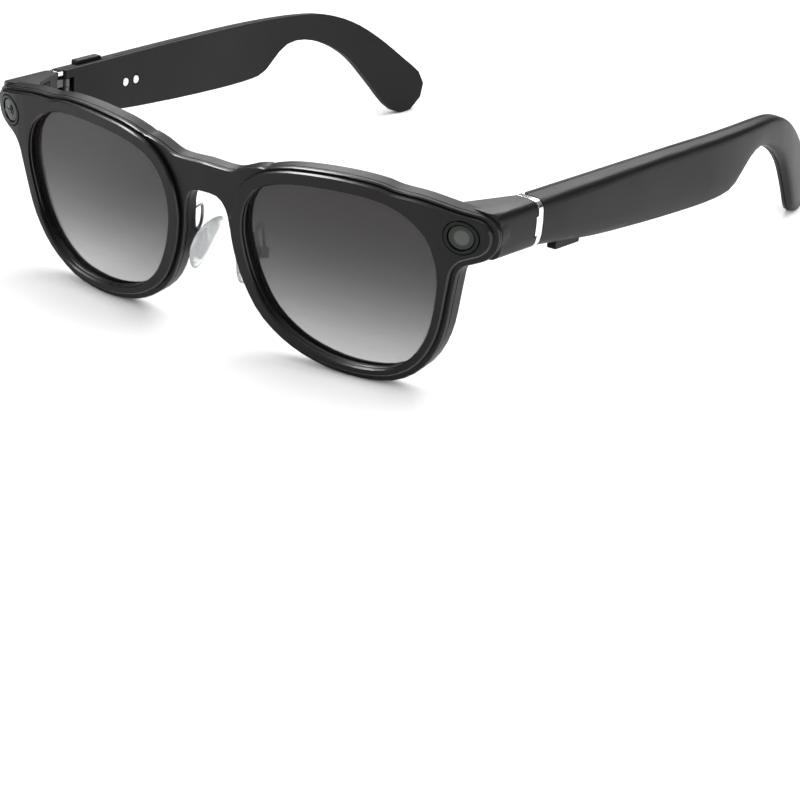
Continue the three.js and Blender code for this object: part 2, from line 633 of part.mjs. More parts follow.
const BUTTON_WIDTH = 2.2;
const BUTTON_IN = 3.1;          // middle of a button outwards from the inner face
const CAPTURE_AT = 11.6;
const POWER_AT = 12.0;
function buttonSlot(at, up) {
  const r = BUTTON_WIDTH / 2 + CLEAR;
  const half = BUTTON_LENGTH / 2 + CLEAR;
  const middle = up * TOP;
  return box(BUTTON_IN - r, BUTTON_IN + r, at - half, at + half, middle - 3, middle + 3);
}
function button(at, surface, up) {
  const half = BUTTON_LENGTH / 2;
  const outline = new THREE.Shape();
  const r = 0.5;
  const [low, high] = [-BUTTON_TRAVEL - 1.5, BUTTON_RISE];
  outline.moveTo(at - half, low);
  outline.lineTo(at + half, low);
  outline.lineTo(at + half, high - r);
  outline.quadraticCurveTo(at + half, high, at + half - r, high);
  outline.lineTo(at - half + r, high);
  outline.quadraticCurveTo(at - half, high, at - half, high - r);
  outline.closePath();
  const g = new THREE.ExtrudeGeometry(outline, { depth: BUTTON_WIDTH, bevelEnabled: false, curveSegments: 4 });
  const bar = reshaped(g, (p) => p.set(BUTTON_IN - BUTTON_WIDTH / 2 + p.z, p.x, p.y));
  const turned = up > 0 ? bar : reshaped(bar, (p) => p.set(2 * BUTTON_IN - p.x, p.y, -p.z));
  return turned.translate(0, 0, surface);
}
const switchUnder = (at, surface, up) => {
  const near = surface - up * (1.5 + 2 * BUTTON_TRAVEL + 0.3);
  const far = near - up * 1.2;
  return box(BUTTON_IN - 1.3, BUTTON_IN + 1.0, at - 2.2, at + 2.2, Math.min(near, far), Math.max(near, far));
};

const SPEAKER_AT = 73.5 * STRETCH;
const GRILLE_HALF = 4.2;
const grilleSlot = (grow) => box(SPLIT + 0.6 - grow, SPLIT + 2.0 + grow, SPEAKER_AT - GRILLE_HALF - grow,
  SPEAKER_AT + GRILLE_HALF + grow, -20, -TOP);

const shellBlank = ribSkin(0.0, 1, 44, (h, t) => section(h, t, SPLIT));
const coverBlank = ribSkin(0.0, 1, 44, (h) => coverSection(h, 0, COVER_THICK));

function templeShell(extra) {
  return cut(shellBlank, ...[
    pocket(cavityOutline, SPLIT - 0.5, SHELL_WALL), cornerRound, hingeNotch, grilleSlot(CLEAR), ...extra,
  ].map(bent));
}
const templeCover = (extra) => cut(coverBlank, ...[cornerRound, hingeNotch, ...extra].map(bent));

const topSurface = topAt(CAPTURE_AT);
const lowSurface = lowAt(POWER_AT);
const CONTACT_AT = 23.4;
const CONTACT_UP = -1.45;
const rod = (radius, x0, x1, y, z, sides = 24) =>
  new THREE.CylinderGeometry(radius, radius, x1 - x0, sides).rotateZ(Math.PI / 2).translate((x0 + x1) / 2, y, z);
const contactHoles = [0, 1].map((i) =>
  rod(CONTACT_RADIUS + CLEAR, -2, SPLIT + 0.2, CONTACT_AT + i * CONTACT_PITCH, CONTACT_UP));
const contacts = [0, 1].map((i) =>
  rod(CONTACT_RADIUS, -0.08, SPLIT + 0.1, CONTACT_AT + i * CONTACT_PITCH, CONTACT_UP));

const INSIDE = SPLIT + 0.3;     // where the electronics start, behind the inner cover
const BOARD_THICK = 0.6;
const board = join(
  box(INSIDE, INSIDE + BOARD_THICK, 20.5, 41.5, -5.2, 3.0),
  box(INSIDE + BOARD_THICK - 0.1, INSIDE + BOARD_THICK + 0.9, 23, 29, -3.5, 1.5),
  box(INSIDE + BOARD_THICK - 0.1, INSIDE + BOARD_THICK + 0.7, 31.5, 37.5, -2.5, 2.0));
const battery = box(INSIDE, INSIDE + 1.7, 43, 65 * STRETCH, -6.6, 2.2);
const speaker = join(
  box(INSIDE, INSIDE + 1.1, SPEAKER_AT - 5.8, SPEAKER_AT + 5.0, -6.6, 1.2),
  rod(2.6, INSIDE + 1.0, INSIDE + 1.4, SPEAKER_AT, -2.6));
const grille = (() => {
  const surface = -BELLY;
  return overlap(grilleSlot(0), box(-1, 8, 0, 200, surface + 0.5, surface + 1.1));
})();

// ---- nose pads, on the left side -------------------------------------------------------
const PAD_SCREW = new THREE.Vector3(6.4, 8.2, -3.8);
const padAlong = new THREE.Vector3(-0.28, 0.42, 0.86).normalize();
const padFacing = new THREE.Vector3(-0.92, -0.10, -0.38);
padFacing.addScaledVector(padAlong, -padFacing.dot(padAlong)).normalize();
const padAcross = new THREE.Vector3().crossVectors(padFacing, padAlong);
const padBasis = new THREE.Matrix4().makeBasis(padAcross, padFacing, padAlong).setPosition(PAD_SCREW);
const PLATE_THICK = 0.5;
const SCREW_RADIUS = 0.35;
const SCREW_CLEAR = 0.06;
const EAR_HALF = 0.4;           // the plate's ear, across the screw
const BOX_HALF = 1.4;
const padBack = -PAD_THICK / 4;
const plateBack = padBack - CLEAR - PLATE_THICK;
const ROCK_DEPTH = plateBack - 1.0;     // the screw's line, about which the pad rocks
const crossRod = (radius, x0, x1, sides = 16) => rod(radius, x0, x1, ROCK_DEPTH, 0, sides);
const bowed = (p) => { p.y += PAD_BOW * (2 * p.z / PAD_LENGTH) ** 2; };
const inPad = (g) => reshaped(g, bowed).applyMatrix4(padBasis);

const nosePad = inPad(cut(
  new THREE.SphereGeometry(1, 28, 16).rotateX(Math.PI / 2).scale(PAD_WIDTH / 2, PAD_THICK * 0.75, PAD_LENGTH / 2)
    .translate(-PAD_SET, 0, 0),
  box(-10, 10, -10, padBack, -10, 10)));
const screwHole = crossRod(SCREW_RADIUS + SCREW_CLEAR, -5, 5);
const padPlate = inPad(cut(
  join(
    new THREE.CylinderGeometry(1, 1, PLATE_THICK, 28)
      .scale(PAD_WIDTH * 0.27, 1, PAD_LENGTH * 0.36).translate(-0.3, plateBack + PLATE_THICK / 2, 0),
    box(-EAR_HALF, EAR_HALF, ROCK_DEPTH, plateBack + 0.2, -0.7, 0.7),
    crossRod(0.7, -EAR_HALF, EAR_HALF)),
  screwHole));
const padBox = inPad(cut(
  box(-BOX_HALF, BOX_HALF, ROCK_DEPTH - 1.8, plateBack - 0.35, -1.2, 1.2),
  box(-EAR_HALF - 0.15, EAR_HALF + 0.15, ROCK_DEPTH - 0.85, 0, -3, 3),
  screwHole));
const padScrew = inPad(join(
  crossRod(SCREW_RADIUS, -BOX_HALF + 0.1, BOX_HALF + 0.3),
  crossRod(0.62, BOX_HALF + 0.12, BOX_HALF + 0.5)));
const wireEnd = new THREE.Vector3(0, ROCK_DEPTH - 1.35, 0.2).applyMatrix4(padBasis);
const wireAbove = new THREE.Vector3(0, ROCK_DEPTH - 1.45, 2.6).applyMatrix4(padBasis);
const ROOT = new THREE.Vector3(8.9, wrapDepth(8.9) + REAR_BACK + CLEAR, 1.5);
function wire(points) {
  const shape = new THREE.Shape(circle(0, 0, WIRE_RADIUS, 8));
  const path = new THREE.CatmullRomCurve3(points, false, 'centripetal');
  return new THREE.ExtrudeGeometry(shape, { steps: 22, bevelEnabled: false, extrudePath: path });
}
const padArm = join(
  box(ROOT.x - 0.9, ROOT.x + 0.9, ROOT.y, ROOT.y + 0.9, ROOT.z - 1.7, ROOT.z + 1.7),
  wire([
    new THREE.Vector3(ROOT.x, ROOT.y + 0.4, ROOT.z), new THREE.Vector3(ROOT.x + 0.3, ROOT.y + 1.9, ROOT.z + 2.0),
    new THREE.Vector3(ROOT.x - 0.2, ROOT.y + 3.9, ROOT.z + 2.4), wireAbove, wireEnd,
  ]),
  padBox);

// ---- assembly --------------------------------------------------------------------------
const glasses = new THREE.Group();

function add(name, geometry, material) {
  const g = closed(geometry);
  g.computeVertexNormals();
  const mesh = new THREE.Mesh(g, material);
  mesh.name = name;
  glasses.add(mesh);
}

// a piece that both sides have; the shape is given for the wearer's left
function pair(name, shape, material) {
  add(`${name}_left`, shape, material);
  add(`${name}_right`, mirrored(shape), material);
}
const onLeft = (g) => placeTemple(bent(g));
const onRight = (g) => mirrored(onLeft(g));

pair('ring_plate', ringPlate, satinBlack);
add('mid_plate', midPlate, satinBlack);
add('rear_frame', rearFrame, satinBlack);
pair('lens', lens(), smokedLens);
pair('end_cover', placeTemple(overlap(coverPlate(0), box(-20, 20, -30, 0, -TOP + 0.3, TOP - 0.3))), innerBlack);
pair('hinge_band', placeTemple(band), chrome);
pair('front_hinge_leaf', placeTemple(frontLeaf), innerBlack);
add('indicator_bezel', bezel, satinBlack);
add('indicator_diffuser', windowGlass, diffuser);
add('indicator_light', emitter, cellGrey);
add('indicator_board', windowBoard, boardGreen);
add('camera_bezel', mirrored(bezel), satinBlack);
add('camera_window', mirrored(windowGlass), darkGlass);
add('camera_lens_barrel', mirrored(barrel), driverBlack);
add('camera_sensor_board', mirrored(windowBoard), boardGreen);
pair('nose_pad_arm', padArm, steel);
pair('nose_pad_screw', padScrew, steel);
pair('nose_pad_plate', padPlate, steel);
pair('nose_pad', nosePad, silicone);

add('temple_shell_left', placeTemple(templeShell([buttonSlot(POWER_AT, -1)])), satinBlack);
add('temple_shell_right', mirrored(placeTemple(templeShell([buttonSlot(CAPTURE_AT, 1)]))), satinBlack);
add('temple_cover_left', placeTemple(templeCover([])), innerBlack);
add('temple_cover_right', mirrored(placeTemple(templeCover(contactHoles))), innerBlack);
pair('temple_hinge_leaf', onLeft(templeLeaf), innerBlack);
pair('hinge_pin', placeTemple(hingePin), steel);
pair('battery', onLeft(battery), cellGrey);
pair('speaker', onLeft(speaker), driverBlack);
pair('speaker_grille', onLeft(grille), steel);
add('audio_board_left', onLeft(board), boardGreen);
add('main_board_right', onRight(board), boardGreen);
add('power_button', onLeft(button(POWER_AT, lowSurface, -1)), satinBlack);
add('power_switch', onLeft(switchUnder(POWER_AT, lowSurface, -1)), steel);
add('capture_button', onRight(button(CAPTURE_AT, topSurface, 1)), satinBlack);
add('capture_switch', onRight(switchUnder(CAPTURE_AT, topSurface, 1)), steel);
contacts.forEach((shape, i) => add(`charging_contact_${i + 1}`, onRight(shape), steel));

// ---- standing on the rims and the temple tips ---------------------------------------------
function restTilt() {
  const corners = { front: [], back: [] };
  for (const mesh of glasses.children) {
    const position = mesh.geometry.attributes.position;
    for (let i = 0; i < position.count; i++) {
      const p = new THREE.Vector3().fromBufferAttribute(position, i);
      corners[p.y < HINGE_BACK ? 'front' : 'back'].push(p);
    }
  }
  const heightAt = (p, tilt) => p.y * Math.sin(tilt) + p.z * Math.cos(tilt);
  const lowest = (list, tilt) => list.reduce((a, b) => (heightAt(b, tilt) < heightAt(a, tilt) ? b : a));
  let tilt = 0;
  for (let i = 0; i < 8; i++) {
    const front = lowest(corners.front, tilt);
    const back = lowest(corners.back, tilt);
    tilt = Math.atan2(front.z - back.z, back.y - front.y);
  }
  return tilt;
}
const tilt = restTilt();
for (const mesh of glasses.children) mesh.geometry.rotateX(tilt);
const extent = new THREE.Box3().setFromObject(glasses);
const middle = extent.getCenter(new THREE.Vector3());
for (const mesh of glasses.children) mesh.geometry.translate(0, -middle.y, -extent.min.z);

export default glasses;
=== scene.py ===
"""Looks for a pair of smart glasses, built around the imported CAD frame.

Lengths are metres, +X runs to the wearer's left, +Y back along the temples and +Z up.
"""

import math

import bpy
from mathutils import Matrix, Vector


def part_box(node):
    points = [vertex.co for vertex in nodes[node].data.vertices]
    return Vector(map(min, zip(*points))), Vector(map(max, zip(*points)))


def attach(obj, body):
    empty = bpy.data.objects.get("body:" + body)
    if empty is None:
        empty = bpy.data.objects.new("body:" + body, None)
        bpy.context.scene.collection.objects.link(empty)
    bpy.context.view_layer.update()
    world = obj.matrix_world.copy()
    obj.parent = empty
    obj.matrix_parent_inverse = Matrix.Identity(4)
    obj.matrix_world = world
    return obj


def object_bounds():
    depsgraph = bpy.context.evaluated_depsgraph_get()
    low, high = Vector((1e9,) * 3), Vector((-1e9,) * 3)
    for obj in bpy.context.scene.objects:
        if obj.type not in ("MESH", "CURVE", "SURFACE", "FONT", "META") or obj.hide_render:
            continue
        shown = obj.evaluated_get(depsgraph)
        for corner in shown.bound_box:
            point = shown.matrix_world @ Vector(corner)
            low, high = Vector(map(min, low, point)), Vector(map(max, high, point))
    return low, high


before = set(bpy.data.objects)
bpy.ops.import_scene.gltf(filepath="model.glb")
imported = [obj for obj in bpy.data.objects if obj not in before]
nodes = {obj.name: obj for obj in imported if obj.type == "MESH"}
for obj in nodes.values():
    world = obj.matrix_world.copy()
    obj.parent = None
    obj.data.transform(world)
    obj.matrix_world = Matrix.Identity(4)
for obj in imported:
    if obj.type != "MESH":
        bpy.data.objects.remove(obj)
cad_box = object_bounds()

MM = 0.001

# camera
CAMERA_PLACE = (0.2901, -0.4149, 0.1982)
CAMERA_AZIMUTH = 36.68          # degrees from straight ahead
CAMERA_ELEVATION = 22.77
CAMERA_ROLL = 1.09
CAMERA_LENS = 97.7              # focal length in millimetres, on the sensor below
CAMERA_SENSOR = 36.0
CAMERA_SHIFT = (0.0491, -0.1418)

# surroundings
WORLD_WHITE = 0.86              # strength for all that doesn't shine
GLOSS_RISE = (0.1, 0.9)         # upward part of a direction, where the shine starts and ends
GLOSS_STRENGTH = (0.05, 0.55)   # strength at those two
FLOOR_SIZE = 6.0

# graded lens: how opaque it is, from its lower edge to its upper one
LENS_STOPS = (
    (0.0, 0.30), (0.17, 0.46), (0.33, 0.62), (0.5, 0.76), (0.67, 0.865), (0.83, 0.93), (1.0, 0.97),
)
DIFFUSER_RING = (1.5 * MM, 1.9 * MM)    # radii between which the dark ring begins

# which faces of a front layer are its chamfers
FRONT_WRAP = 2.0                # sideways turn of the face for each metre from the middle
FRONT_NOD = -0.08               # downward part of the face's direction
CHAMFER_SLOPE = (0.45, 0.92)    # cosine of the angle to the face
CHAMFER_REAR = -0.069           # the visible chamfers lie ahead of this

# edges, in degrees
FLAT_ANGLE = 0.4
BEVEL_ANGLE = 40
SPLIT_ANGLE = 30
WELD_REACH = 0.001 * MM

# camera lens in its window
LENS_LEAN = 4.62                # degrees that its axis points below level
LENS_SINK = 0.30 * MM           # below the window's face
LENS_RING_RADIUS = 1.15 * MM
LENS_RING_WIRE = 0.10 * MM
LENS_DOME_RADIUS = 0.8 * MM
LENS_DOME_FLATNESS = 0.35


# ---- shader maths ------------------------------------------------------------


class Wire:
    """An output socket that can be added to, multiplied and so on, in Python."""

    def __init__(self, shader, socket):
        self.shader = shader
        self.socket = socket

    def _math(self, operation, first, second):
        return self.shader.node(
            "ShaderNodeMath", {"operation": operation}, {0: first, 1: second}
        )

    def __add__(self, other):
        return self._math("ADD", self, other)

    def __radd__(self, other):
        return self._math("ADD", other, self)

    def __sub__(self, other):
        return self._math("SUBTRACT", self, other)

    def __rsub__(self, other):
        return self._math("SUBTRACT", other, self)

    def __mul__(self, other):
        return self._math("MULTIPLY", self, other)

    def __rmul__(self, other):
        return self._math("MULTIPLY", other, self)


class Shader:
    """One material and the nodes in it."""

    def __init__(self, name):
        self.material = bpy.data.materials.new(name)
        self.material.use_nodes = True
        self.tree = self.material.node_tree
        self.tree.nodes.clear()
        self.place = self.node("ShaderNodeTexCoord", {}, {}, output="Object")

    def node(self, kind, settings, inputs, output=0):
        """Adds a node: its settings first, then the values or links of its sockets."""
        made = self.tree.nodes.new(kind)
        for name, value in settings.items():
            if name == "stops":
                self._set_stops(made.color_ramp, value)
            else:
                setattr(made, name, value)
        for key, value in inputs.items():
            if isinstance(value, Wire):
                self.tree.links.new(value.socket, made.inputs[key])
            else:
                made.inputs[key].default_value = value
        return Wire(self, made.outputs[output])

    @staticmethod
    def _set_stops(ramp, stops):
        while len(ramp.elements) < len(stops):
            ramp.elements.new(1.0)
        for element, (position, color) in zip(ramp.elements, stops):
            element.position = position
            element.color = (*color, 1.0)

    def noise(self, scale, detail=3.0, stretch=(1, 1, 1), roughness=0.5):
        """Smooth noise from 0 to 1 with so many bumps to the metre."""
        place = self.node(
            "ShaderNodeMapping", {}, {"Vector": self.place, "Scale": stretch}
        )
        return self.node(
            "ShaderNodeTexNoise",
            {"noise_dimensions": "3D"},
            {"Vector": place, "Scale": scale, "Detail": detail, "Roughness": roughness},
        )

    def spread(self, value, low, high, to_low, to_high):
        """Maps low..high to to_low..to_high, held at both ends."""
        return self.node(
            "ShaderNodeMapRange",
            {"clamp": True},
            {0: value, 1: low, 2: high, 3: to_low, 4: to_high},
        )

    def between(self, factor, first, second):
        """The colour that lies so far from the first colour to the second."""
        return self.node(
            "ShaderNodeMix",
            {"data_type": "RGBA"},
            {0: factor, 6: first, 7: second},
            output=2,
        )

    def axis(self, letter):
        """One coordinate of the surface point, in metres."""
        return self.node(
            "ShaderNodeSeparateXYZ", {}, {0: self.place}, output=letter
        )

    def bump(self, height, depth, strength=1.0):
        """A normal from a height of 0 to 1 that stands for so many metres."""
        return self.node(
            "ShaderNodeBump", {}, {"Strength": strength, "Distance": depth, "Height": height}
        )

    def surface(self, inputs):
        """Ends the material in a Principled shader with these sockets."""
        shader = self.node("ShaderNodeBsdfPrincipled", {}, inputs)
        end = self.tree.nodes.new("ShaderNodeOutputMaterial")
        self.tree.links.new(shader.socket, end.inputs["Surface"])
        return self.material


def grey(value, warm=0.0):
    return (value * (1 + warm), value, value * (1 - warm), 1.0)


# ---- materials ---------------------------------------------------------------


def satin_plastic(name, value, roughness, sheen_level):
    """Moulded frame plastic: fine even grain, faint mottling and slightly rubbed patches."""
    m = Shader(name)
    mottle = m.noise(180, detail=4)
    grain = m.noise(5200, detail=2)
    rub = m.spread(m.noise(45, detail=5, roughness=0.6), 0.42, 0.7, 0.0, 1.0)
    color = m.between(mottle, grey(value * 0.8, -0.02), grey(value * 1.2, -0.03))
    return m.surface({
        "Base Color": color,
        "Roughness": roughness + 0.06 * rub + 0.05 * grain,
        "Specular IOR Level": sheen_level,
        "Normal": m.bump(grain, 0.006 * MM, 0.5),
    })


def tinted_lens(low, high):
    """Graded lens: nearly clear at its lower edge, dark and a little warm at the top."""
    m = Shader("graded_lens")
    haze = m.noise(30, detail=2)
    rise = m.spread(m.axis("Z") + 0.8 * MM * (haze - 0.5), low, high, 0.0, 1.0)
    shade = m.node(
        "ShaderNodeValToRGB",
        {"stops": [(at, (value, value, value)) for at, value in LENS_STOPS]},
        {0: rise},
    )
    alpha = m.node("ShaderNodeSeparateColor", {}, {0: shade}, output="Red")
    return m.surface({
        "Base Color": m.between(rise, (0.014, 0.014, 0.016, 1), (0.013, 0.009, 0.010, 1)),
        "Roughness": 0.03 + 0.03 * haze,
        "Alpha": alpha,
        "Specular IOR Level": 0.42,
    })


def polished_metal(name, color, roughness, brush):
    """Plated metal with hair-fine polishing lines along the part's height."""
    m = Shader(name)
    lines = m.noise(2600, detail=3, stretch=(1, 1, brush))
    cloud = m.noise(240, detail=3)
    dark = tuple(c * 0.88 for c in color[:3]) + (1.0,)
    return m.surface({
        "Base Color": m.between(cloud, color, dark),
        "Metallic": 1.0,
        "Roughness": roughness + 0.08 * lines,
        "Normal": m.bump(lines, 0.002 * MM, 0.4),
    })


def clear_silicone():
    """Nose pads: soft, water-clear, with a faintly frosted skin."""
    m = Shader("pad_silicone")
    frost = m.noise(1800, detail=3)
    cloud = m.noise(220, detail=2)
    return m.surface({
        "Base Color": m.between(cloud, (0.86, 0.88, 0.88, 1), (0.78, 0.80, 0.81, 1)),
        "Roughness": 0.16 + 0.16 * frost,
        "Transmission Weight": 0.82,
        "IOR": 1.41,
        "Normal": m.bump(frost, 0.01 * MM, 0.35),
    })


def dark_glass():
    """The camera's cover: near-black, polished, with a faint cool coating."""
    m = Shader("window_glass")
    bloom = m.noise(320, detail=2)
    return m.surface({
        "Base Color": m.between(bloom, (0.003, 0.005, 0.005, 1), (0.006, 0.009, 0.010, 1)),
        "Roughness": 0.05 + 0.05 * bloom,
        "Specular IOR Level": 0.3,
    })


def milky_diffuser(low, high):
    """The indicator's window: a grey-green middle, partly the diffuser's own milky tone and partly
    a painted faint glow, with fine prisms inside a dark ring.
    """
    m = Shader("indicator_plastic")
    cells = m.node(
        "ShaderNodeTexVoronoi", {"feature": "F1"}, {"Vector": m.place, "Scale": 2300.0}
    )
    cloud = m.noise(420, detail=2)
    middle = (low + high) / 2
    reach = m.node(
        "ShaderNodeVectorMath",
        {"operation": "DISTANCE"},
        {0: m.place, 1: middle},
        output="Value",
    )
    ring = m.spread(reach, *DIFFUSER_RING, 0.0, 1.0)
    # the grey-green middle: the diffuser's milky tone, lifted into a painted faint glow
    milky_tone_and_painted_glow = m.between(cloud, (0.040, 0.046, 0.040, 1), (0.062, 0.070, 0.060, 1))
    return m.surface({
        "Base Color": m.between(ring, milky_tone_and_painted_glow, (0.006, 0.007, 0.007, 1)),
        "Roughness": 0.22 + 0.2 * cloud,
        "Specular IOR Level": 0.35,
        "Normal": m.bump(cells, 0.03 * MM, 0.5),
    })


def lens_glass():
    """Optical glass of the camera, with its blue-green coating."""
    m = Shader("camera_lens_glass")
    tint = m.noise(900, detail=1)
    return m.surface({
        "Base Color": m.between(tint, (0.006, 0.012, 0.014, 1), (0.02, 0.05, 0.055, 1)),
        "Roughness": 0.02 + 0.03 * tint,
        "Specular IOR Level": 0.8,
    })


def circuit_board():
    """Solder mask with a faint weave and copper tracks just under it."""
    m = Shader("solder_mask")
    weave = m.node(
        "ShaderNodeTexWave",
        {"wave_type": "BANDS", "bands_direction": "DIAGONAL"},
        {"Vector": m.place, "Scale": 900.0, "Distortion": 1.5},
        output="Fac",
    )
    cells = m.node(
        "ShaderNodeTexVoronoi",
        {"feature": "DISTANCE_TO_EDGE"},
        {"Vector": m.place, "Scale": 650.0},
    )
    tracks = m.spread(cells, 0.04, 0.09, 1.0, 0.0)
    return m.surface({
        "Base Color": m.between(tracks, (0.012, 0.09, 0.035, 1), (0.03, 0.17, 0.07, 1)),
        "Roughness": 0.32 + 0.12 * weave,
        "Normal": m.bump(weave, 0.01 * MM, 0.4),
    })


def battery_foil():
    """Aluminium pouch, dull and slightly creased."""
    m = Shader("pouch_foil")
    crease = m.noise(420, detail=4, roughness=0.6)
    return m.surface({
        "Base Color": m.between(crease, (0.45, 0.46, 0.48, 1), (0.62, 0.63, 0.65, 1)),
        "Metallic": 0.9,
        "Roughness": 0.3 + 0.2 * crease,
        "Normal": m.bump(crease, 0.05 * MM, 0.5),
    })


def module_plastic():
    """Glass-filled black plastic of the small modules."""
    m = Shader("module_plastic")
    fibre = m.noise(2400, detail=4, stretch=(1, 0.2, 1))
    return m.surface({
        "Base Color": m.between(fibre, (0.012, 0.012, 0.013, 1), (0.03, 0.03, 0.032, 1)),
        "Roughness": 0.45 + 0.2 * fibre,
        "Normal": m.bump(fibre, 0.01 * MM, 0.5),
    })


def pale_floor():
    """Plain matt paper-white floor."""
    m = Shader("studio_floor")
    tooth = m.noise(900, detail=3)
    return m.surface({
        "Base Color": m.between(tooth, (0.86, 0.86, 0.86, 1), (0.9, 0.9, 0.9, 1)),
        "Roughness": 0.8 + 0.1 * tooth,
    })


lens_low, lens_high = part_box("lens_left")
FINISHES = {
    "front_plastic": satin_plastic("front_plastic", 0.0036, 0.34, 0.19),
    # glossier copy of the front plastic for the chamfers; its lighter base colour is a painted
    # highlight
    "glossy_edge_painted_highlight": satin_plastic("glossy_edge_painted_highlight", 0.006, 0.17, 0.45),
    "temple_plastic": satin_plastic("temple_plastic", 0.0034, 0.38, 0.17),
    "inner_plastic": satin_plastic("inner_plastic", 0.0055, 0.48, 0.18),
    "lens": tinted_lens(lens_low.z, lens_high.z),
    "chrome": polished_metal("band_chrome", (0.86, 0.87, 0.88, 1), 0.08, 0.15),
    "steel": polished_metal("pad_wire_steel", (0.50, 0.50, 0.51, 1), 0.20, 0.3),
    "dark_steel": polished_metal("hinge_steel", (0.13, 0.13, 0.135, 1), 0.32, 0.3),
    "silver": polished_metal("contact_plating", (0.80, 0.80, 0.80, 1), 0.16, 0.5),
    "silicone": clear_silicone(),
    "window": dark_glass(),
    "diffuser": milky_diffuser(*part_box("indicator_diffuser")),
    "lens_glass": lens_glass(),
    "board": circuit_board(),
    "foil": battery_foil(),
    "module": module_plastic(),
}

# finish and bevel width, by the start of the node's name
NODE_LOOKS = [
    ("ring_plate", "front_plastic", 0.0),
    ("mid_plate", "front_plastic", 0.0),
    ("rear_frame", "front_plastic", 0.0),
    ("lens", "lens", 0.0),
    ("end_cover", "inner_plastic", 0.12),
    ("hinge_band", "chrome", 0.08),
    ("front_hinge_leaf", "dark_steel", 0.05),
    ("indicator_bezel", "front_plastic", 0.1),
    ("indicator_diffuser", "diffuser", 0.08),
    ("indicator_light", "module", 0.0),
    ("indicator_board", "board", 0.0),
    ("camera_bezel", "front_plastic", 0.1),
    ("camera_window", "window", 0.08),
    ("camera_lens_barrel", "module", 0.0),
    ("camera_sensor_board", "board", 0.0),
    ("nose_pad_arm", "steel", 0.0),
    ("nose_pad_screw", "steel", 0.05),
    ("nose_pad_plate", "steel", 0.08),
    ("nose_pad", "silicone", 0.2),
    ("temple_shell", "temple_plastic", 0.15),
    ("temple_cover", "inner_plastic", 0.12),
    ("temple_hinge_leaf", "dark_steel", 0.05),
    ("hinge_pin", "dark_steel", 0.05),
    ("battery", "foil", 0.2),
    ("speaker_grille", "steel", 0.0),
    ("speaker", "module", 0.08),
    ("audio_board", "board", 0.0),
    ("main_board", "board", 0.0),
    ("power_button", "temple_plastic", 0.2),
    ("power_switch", "steel", 0.0),
    ("capture_button", "temple_plastic", 0.2),
    ("capture_switch", "steel", 0.0),
    ("charging_contact", "silver", 0.12),
]
CHAMFERED = ("ring_plate", "mid_plate", "rear_frame")


def look_of(name):
    """The first entry of NODE_LOOKS that the node's name starts with."""
    return next(entry for entry in NODE_LOOKS if name.startswith(entry[0]))


def soften(obj, bevel):
    """Joins the loose triangles, rounds or keeps the sharp edges and evens the shading."""
    weld = obj.modifiers.new("join", "WELD")
    weld.merge_threshold = WELD_REACH
    if bevel:
        flat = obj.modifiers.new("flat faces", "DECIMATE")
        flat.decimate_type = "DISSOLVE"
        flat.angle_limit = math.radians(FLAT_ANGLE)
        edge = obj.modifiers.new("edges", "BEVEL")
        edge.width = bevel * MM
        edge.segments = 2
        edge.limit_method = "ANGLE"
        edge.angle_limit = math.radians(BEVEL_ANGLE)
    else:
        split = obj.modifiers.new("sharp edges", "EDGE_SPLIT")
        split.split_angle = math.radians(SPLIT_ANGLE)
    obj.modifiers.new("shading", "WEIGHTED_NORMAL")


def polish_and_highlight_chamfers(obj):
    """Gives the sloping edge faces of a front layer their glossier finish, whose lighter base
    colour is a painted highlight.
    """
    obj.data.materials.append(FINISHES["glossy_edge_painted_highlight"])
    for face in obj.data.polygons:
        facing = Vector((FRONT_WRAP * face.center.x, -1.0, FRONT_NOD)).normalized()
        slope = abs(face.normal.dot(facing))
        if CHAMFER_SLOPE[0] < slope < CHAMFER_SLOPE[1] and face.center.y < CHAMFER_REAR:
            face.material_index = 1


for node_name, node in nodes.items():
    _, finish, bevel_width = look_of(node_name)
    node.data.materials.clear()
    node.data.materials.append(FINISHES[finish])
    for face in node.data.polygons:
        face.use_smooth = True
    if node_name.startswith(CHAMFERED):
        polish_and_highlight_chamfers(node)
    soften(node, bevel_width)


# ---- camera lens ---------------------------------------------------------------


def finish_piece(name, finish, body):
    """Names the active object, puts its place into its mesh and lets it ride on a body."""
    piece = bpy.context.object
    piece.name = name
    bpy.ops.object.transform_apply(location=True, rotation=True, scale=True)
    bpy.ops.object.shade_smooth()
    piece.data.materials.clear()
    piece.data.materials.append(FINISHES[finish])
    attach(piece, body)


def window_place(node_name, depth):
    """A point on a window's axis, so far in front of its face, and the turn of the lens."""
    low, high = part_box(node_name)
    lean = math.radians(LENS_LEAN)
    axis = Vector((0.0, -math.cos(lean), -math.sin(lean)))
    middle = (low + high) / 2
    front = middle + axis * (0.5 * (high.y - low.y) + depth)
    return front, axis.to_track_quat("Z", "Y").to_euler()


def camera_lens():
    """A small coated dome in a turned ring, on the face of the camera's window."""
    bpy.ops.object.select_all(action="DESELECT")
    place, turn = window_place("camera_window", -LENS_SINK)
    bpy.ops.mesh.primitive_torus_add(
        major_segments=48,
        minor_segments=12,
        major_radius=LENS_RING_RADIUS,
        minor_radius=LENS_RING_WIRE,
        location=place,
        rotation=turn,
    )
    finish_piece("camera_lens_ring", "dark_steel", "front")
    bpy.ops.object.select_all(action="DESELECT")
    bpy.ops.mesh.primitive_uv_sphere_add(
        segments=32,
        ring_count=16,
        radius=LENS_DOME_RADIUS,
        location=place,
        rotation=turn,
        scale=(1, 1, LENS_DOME_FLATNESS),
    )
    finish_piece("camera_lens_dome", "lens_glass", "front")


camera_lens()


# ---- studio ------------------------------------------------------------------


def studio_floor():
    """A wide sheet that the glasses stand on."""
    bpy.ops.object.select_all(action="DESELECT")
    bpy.ops.mesh.primitive_plane_add(size=FLOOR_SIZE, location=(0, 0, cad_box[0].z))
    floor = bpy.context.object
    floor.name = "studio_floor"
    floor.data.materials.append(pale_floor())


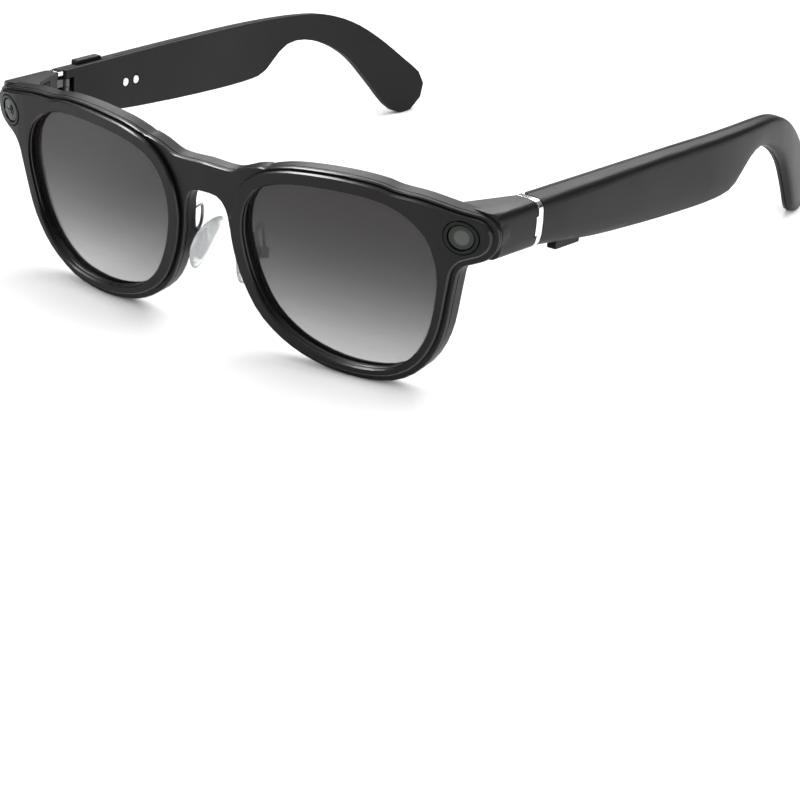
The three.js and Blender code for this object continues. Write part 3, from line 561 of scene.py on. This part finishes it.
def soft_light(name, place, aim, size, power, gloss_only=False):
    """A rectangular softbox that faces the aim point."""
    data = bpy.data.lights.new(name, "AREA")
    data.shape = "RECTANGLE"
    data.size, data.size_y = size
    data.energy = power
    lamp = bpy.data.objects.new(name, data)
    bpy.context.collection.objects.link(lamp)
    lamp.location = place
    lamp.rotation_euler = (Vector(aim) - Vector(place)).to_track_quat("-Z", "Y").to_euler()
    lamp.visible_diffuse = not gloss_only


def studio_world():
    """White surroundings for the floor; what shines sees a room that brightens overhead."""
    world = bpy.data.worlds.new("studio")
    bpy.context.scene.world = world
    world.use_nodes = True
    tree = world.node_tree
    back = tree.nodes["Background"]
    back.inputs["Color"].default_value = (1, 1, 1, 1)
    direction = tree.nodes.new("ShaderNodeTexCoord")
    split = tree.nodes.new("ShaderNodeSeparateXYZ")
    rise = tree.nodes.new("ShaderNodeMapRange")
    limits = zip(("From Min", "From Max", "To Min", "To Max"), GLOSS_RISE + GLOSS_STRENGTH)
    for socket, value in limits:
        rise.inputs[socket].default_value = value
    path = tree.nodes.new("ShaderNodeLightPath")
    mix = tree.nodes.new("ShaderNodeMix")
    mix.inputs["A"].default_value = WORLD_WHITE
    tree.links.new(direction.outputs["Generated"], split.inputs[0])
    tree.links.new(split.outputs["Z"], rise.inputs["Value"])
    tree.links.new(rise.outputs["Result"], mix.inputs["B"])
    tree.links.new(path.outputs["Is Glossy Ray"], mix.inputs["Factor"])
    tree.links.new(mix.outputs["Result"], back.inputs["Strength"])


def studio_light():
    """A broad overhead softbox, side ones, and two narrow ones that draw the edges."""
    studio_world()
    aim = (0, 0, 0.03)
    soft_light("overhead", (0.1, 0.25, 0.9), aim, (0.9, 0.9), 8)
    soft_light("right_side", (1.0, -0.1, 0.5), aim, (0.6, 0.6), 4)
    soft_light("left_front", (-0.7, -0.8, 0.7), aim, (0.6, 0.6), 3)
    soft_light("edge_line", (-0.62, -0.46, 0.80), aim, (0.5, 0.22), 9, gloss_only=True)
    soft_light("rear_line", (-0.45, 0.80, 0.55), aim, (0.8, 0.2), 5, gloss_only=True)


def studio_camera():
    """A long lens from the front, to the wearer's left and above."""
    data = bpy.data.cameras.new("camera")
    data.lens = CAMERA_LENS
    data.sensor_width = CAMERA_SENSOR
    data.shift_x, data.shift_y = CAMERA_SHIFT
    data.clip_start = 0.01
    camera = bpy.data.objects.new("camera", data)
    bpy.context.collection.objects.link(camera)
    turn = Matrix.Rotation(math.radians(CAMERA_AZIMUTH), 4, "Z")
    tilt = Matrix.Rotation(math.radians(90 - CAMERA_ELEVATION), 4, "X")
    roll = Matrix.Rotation(math.radians(CAMERA_ROLL), 4, "Z")
    camera.matrix_world = Matrix.Translation(CAMERA_PLACE) @ turn @ tilt @ roll
    bpy.context.scene.camera = camera


studio_floor()
studio_light()
studio_camera()
bpy.context.scene.view_settings.view_transform = "Standard"
